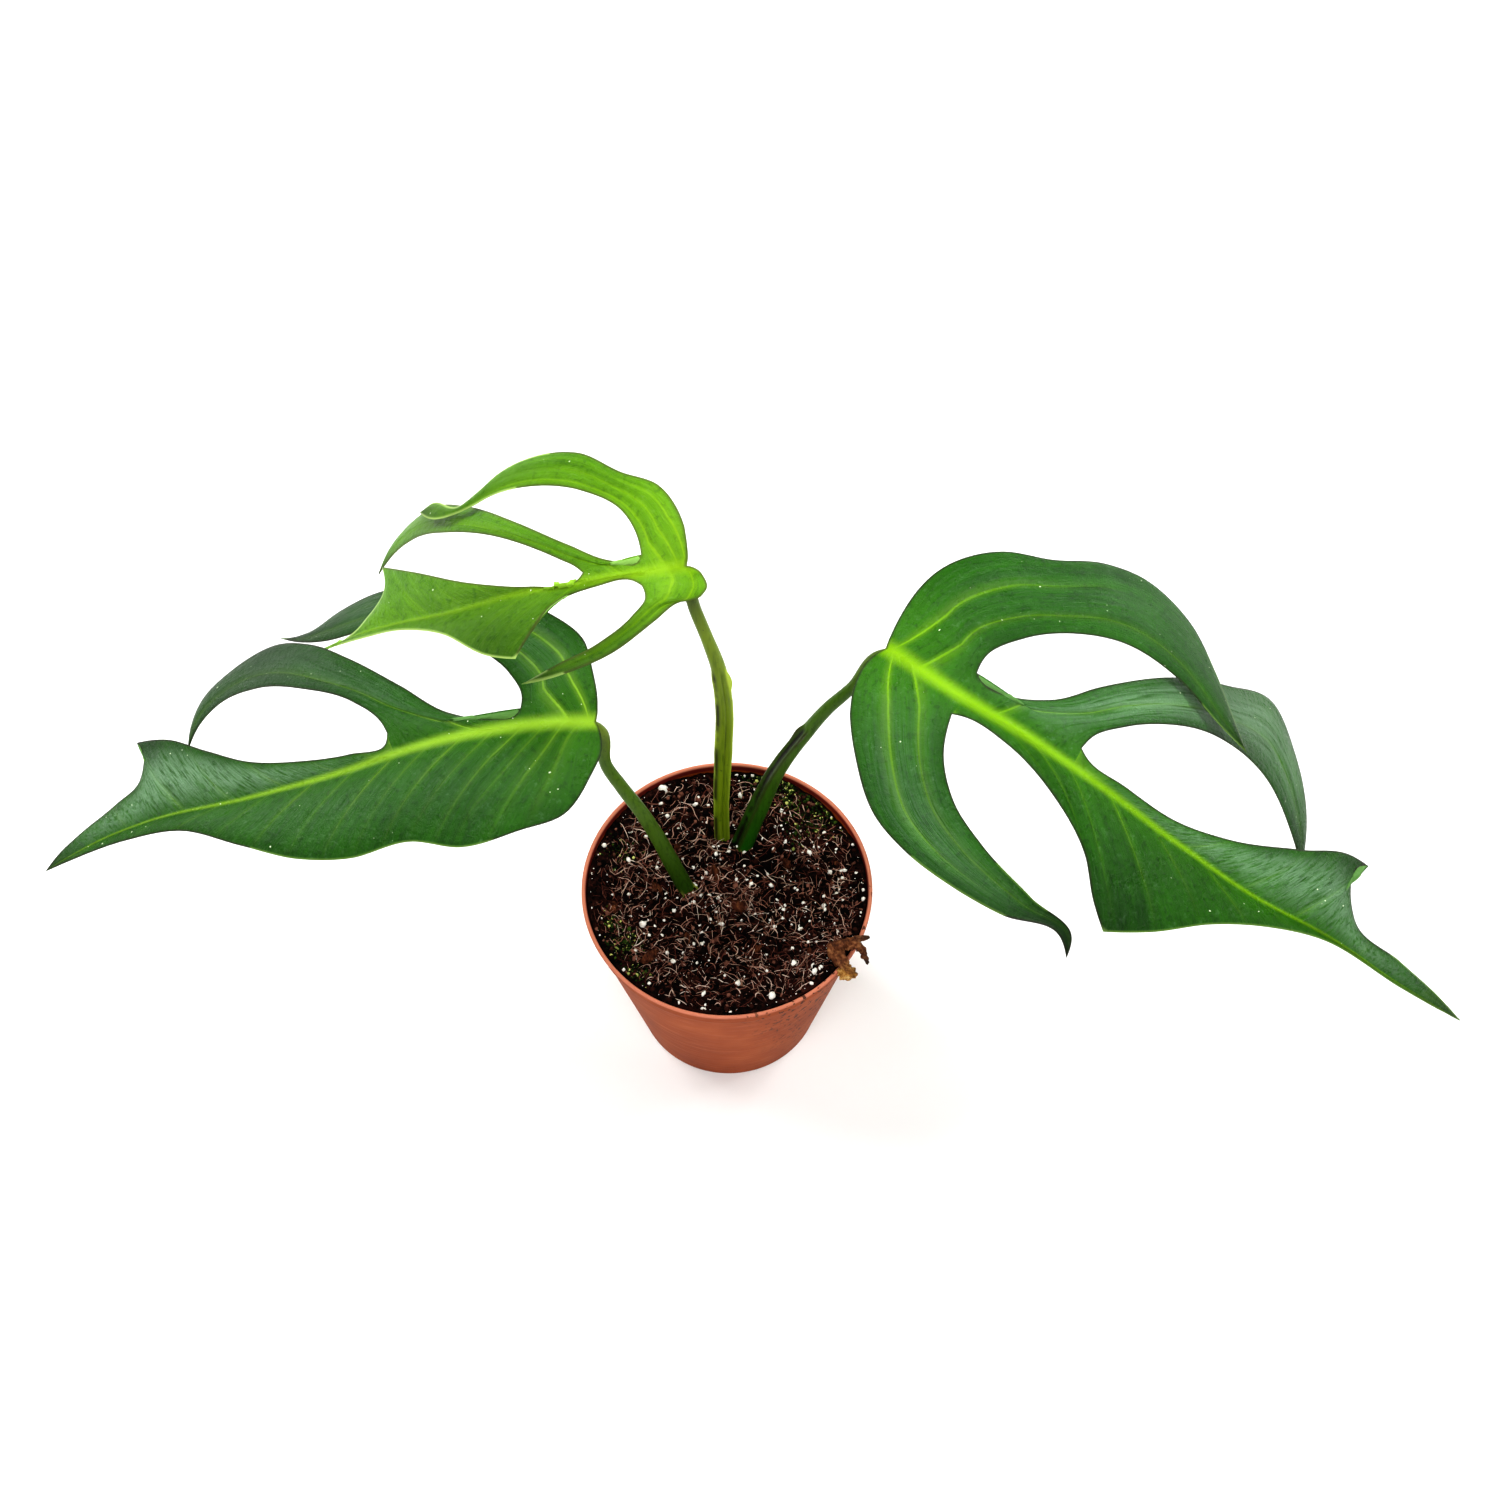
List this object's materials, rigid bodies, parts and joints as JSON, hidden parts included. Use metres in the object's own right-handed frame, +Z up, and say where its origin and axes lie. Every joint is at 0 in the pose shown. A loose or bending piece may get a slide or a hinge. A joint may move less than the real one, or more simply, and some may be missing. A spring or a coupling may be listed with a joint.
{
  "type": "potted monstera plant",
  "caption": "Young monstera with deeply split, arching leaves on green stalks, standing in potting mix in a small tapered terracotta-coloured plastic pot.",
  "frame": {"origin": "middle of the pot's underside, on the surface that the pot stands on", "axes": "+Z up; +X along the spread of the leaves, towards the largest leaf; -Y towards the side the plant is seen from"},
  "size_m": [0.501, 0.1464, 0.2436],
  "materials": {
    "pot_plastic": "satin",
    "potting_mix": "matte",
    "stalk": "satin",
    "leaf": "satin",
    "young_leaf": "satin",
    "husk": "matte",
    "perlite": "matte",
    "bark": "matte",
    "dry_root": "matte"
  },
  "bodies": {
    "root": {"pot": "pot_plastic", "potting_mix": "potting_mix", "stalk_right": "stalk", "stalk_middle": "stalk", "stalk_left": "stalk", "leaf_right": "leaf", "leaf_left": "leaf", "leaf_middle": "young_leaf", "husk": "husk", "perlite_01": "perlite", "perlite_02": "perlite", "perlite_03": "perlite", "perlite_04": "perlite", "perlite_05": "perlite", "perlite_06": "perlite", "perlite_07": "perlite", "perlite_08": "perlite", "perlite_09": "perlite", "perlite_10": "perlite", "perlite_11": "perlite", "perlite_12": "perlite", "bark_chip_1": "bark", "bark_chip_2": "bark", "bark_chip_3": "bark", "bark_chip_4": "bark", "root_fibre_1": "dry_root", "root_fibre_2": "dry_root", "root_fibre_3": "dry_root"}
  },
  "joints": []
}
